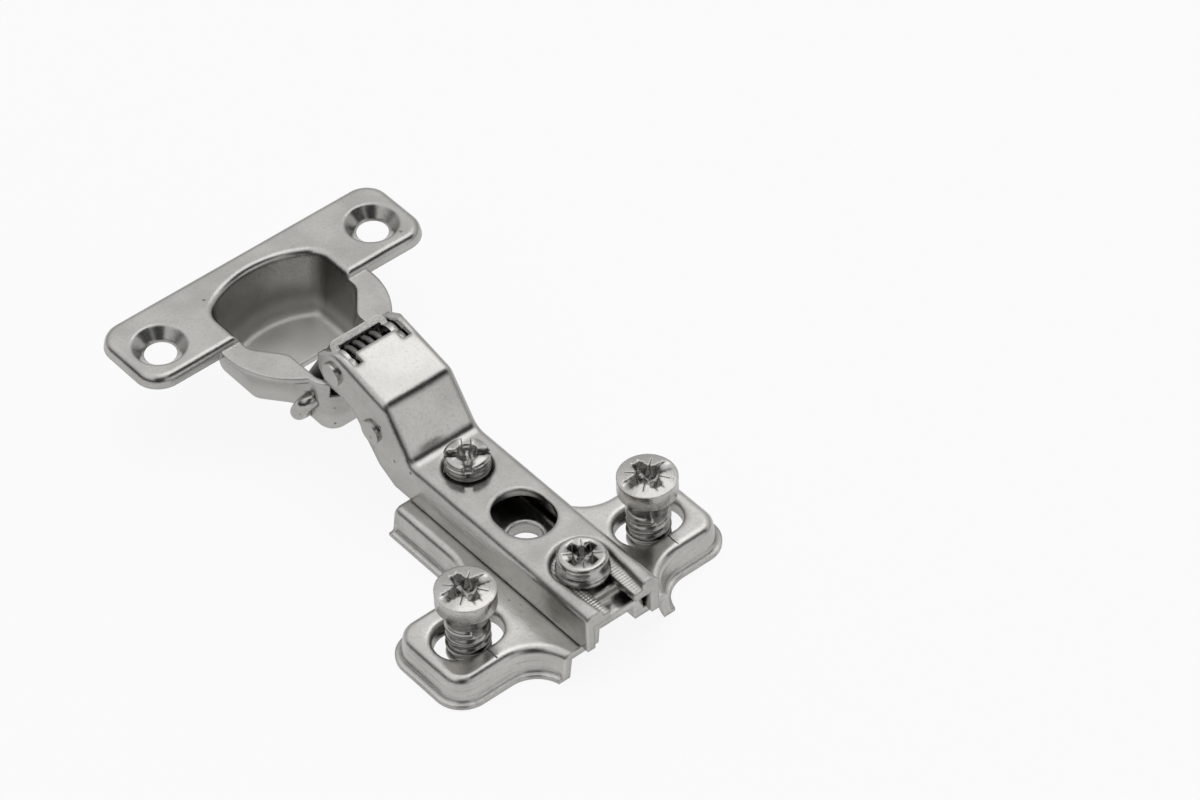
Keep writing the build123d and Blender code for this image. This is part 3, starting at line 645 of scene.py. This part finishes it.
class HINGE_OT_stage(bpy.types.Operator):
    """Sets up the floor, the light and the camera"""
    bl_idname = "hinge.stage"
    bl_label = "Set the stage"

    def lamp(self, name, place, size, radiance):
        light = bpy.data.lights.new(name, "AREA")
        light.shape = "RECTANGLE"
        light.size, light.size_y = size
        light.energy = radiance * math.pi * size[0] * size[1]
        lamp = bpy.data.objects.new(name, light)
        lamp.location = place
        aim = Vector(LAMP_TARGET) - Vector(place)
        lamp.rotation_euler = aim.to_track_quat("-Z", "Y").to_euler()
        bpy.context.scene.collection.objects.link(lamp)

    def rays(self, finish, kind):
        """1 for rays of this kind."""
        return finish.node("ShaderNodeLightPath", output=kind)

    def floor(self, size):
        """Pale paper, which glows to the camera and to rays that metal or glass sends on."""
        mesh = bpy.data.meshes.new("floor")
        half = size / 2
        corners = [(-half, -half, 0), (half, -half, 0), (half, half, 0), (-half, half, 0)]
        mesh.from_pydata(corners, [], [(0, 1, 2, 3)])
        floor = bpy.data.objects.new("floor", mesh)
        floor.location = (0, 0, CAD_BOX[0][2] - FLOOR_GAP)
        bpy.context.scene.collection.objects.link(floor)
        material = bpy.data.materials.new("pale_floor")
        finish = Finish(material)
        paper = finish.node("ShaderNodeBsdfDiffuse", None, {"Color": PAPER})
        glow = finish.node("ShaderNodeEmission", None, {"Color": WHITE, "Strength": 1.0})
        seen, mirrored, through = (self.rays(finish, kind) for kind in
                                   ("Is Camera Ray", "Is Glossy Ray", "Is Transmission Ray"))
        shown = (seen + mirrored + through).maths("MINIMUM", 1.0)
        share = seen * FLOOR_GLOW + shown * FLOOR_GLOW
        finish.surface(finish.node("ShaderNodeMixShader", None, {0: share, 1: paper, 2: glow}))
        mesh.materials.append(material)

    def room(self):
        """A bright room with a dark wall, a flag overhead and a dark patch about the lens.

        The camera sees white behind the floor.
        """
        world = bpy.data.worlds.new("studio")
        bpy.context.scene.world = world
        finish = Finish(world, "ShaderNodeOutputWorld")
        way = finish.node("ShaderNodeTexCoord", output="Generated")
        up = finish.part(way, "Z") * 0.5 + 0.5
        pale = finish.node("ShaderNodeValToRGB", {"stops": PALE_STOPS}, {"Fac": up})
        dark = finish.node("ShaderNodeValToRGB", {"stops": DARK_STOPS}, {"Fac": up})
        wall = finish.dot(way, WALL_WAY).step(0.25, 0.65)
        flag = finish.dot(way, FLAG_WAY).step(0.86, 0.96)
        lens_side = finish.dot(way, LENS_WAY).step(0.88, 0.97)
        shade = finish.tint(wall, pale, dark)
        shade = finish.tint(flag, shade, FLAG_SHADE)
        shade = finish.tint(lens_side, shade, LENS_SHADE)
        colour = finish.tint(self.rays(finish, "Is Camera Ray"), shade, WHITE)
        finish.surface(finish.node("ShaderNodeBackground", None,
                                   {"Color": colour, "Strength": 1.0}))

    def camera(self, scene, settings):
        data = bpy.data.cameras.new("photo_camera")
        data.lens = settings.lens
        data.sensor_width = FRAME_WIDTH
        data.clip_start, data.clip_end = CLIP_NEAR, CLIP_FAR
        camera = bpy.data.objects.new("photo_camera", data)
        camera.location = settings.camera_place
        camera.rotation_euler = Euler(settings.camera_turn)
        scene.collection.objects.link(camera)
        scene.camera = camera

    def execute(self, context):
        settings = context.scene.hinge_studio
        self.floor(settings.floor_size)
        self.room()
        for lamp in LAMPS:
            self.lamp(*lamp)
        self.camera(context.scene, settings)
        context.scene.view_settings.view_transform = "Standard"
        return {"FINISHED"}


class HINGE_PT_panel(bpy.types.Panel):
    """Lists the steps that dress the hinge"""
    bl_idname = "HINGE_PT_panel"
    bl_label = "Concealed hinge"
    bl_space_type = "VIEW_3D"
    bl_region_type = "UI"
    bl_category = "Hinge"

    def draw(self, context):
        layout = self.layout
        for group in (context.scene.hinge_colours, context.scene.hinge_studio):
            box = layout.box()
            for name in group.__annotations__:
                box.prop(group, name)
        for step in STEPS:
            layout.operator(step.bl_idname)


STEPS = (HINGE_OT_mounting_plate, HINGE_OT_arm, HINGE_OT_cup, HINGE_OT_links, HINGE_OT_screws,
         HINGE_OT_stage)
CLASSES = (PlateColours, StudioSettings, *STEPS, HINGE_PT_panel)


def register():
    for item in CLASSES:
        bpy.utils.register_class(item)
    bpy.types.Scene.hinge_colours = PointerProperty(type=PlateColours)
    bpy.types.Scene.hinge_studio = PointerProperty(type=StudioSettings)


def unregister():
    del bpy.types.Scene.hinge_studio
    del bpy.types.Scene.hinge_colours
    for item in reversed(CLASSES):
        bpy.utils.unregister_class(item)


def main():
    register()
    bpy.ops.hinge.mounting_plate()
    bpy.ops.hinge.arm()
    bpy.ops.hinge.cup()
    bpy.ops.hinge.links()
    bpy.ops.hinge.screws()
    bpy.ops.hinge.stage()


if __name__ == "__main__":
    main()
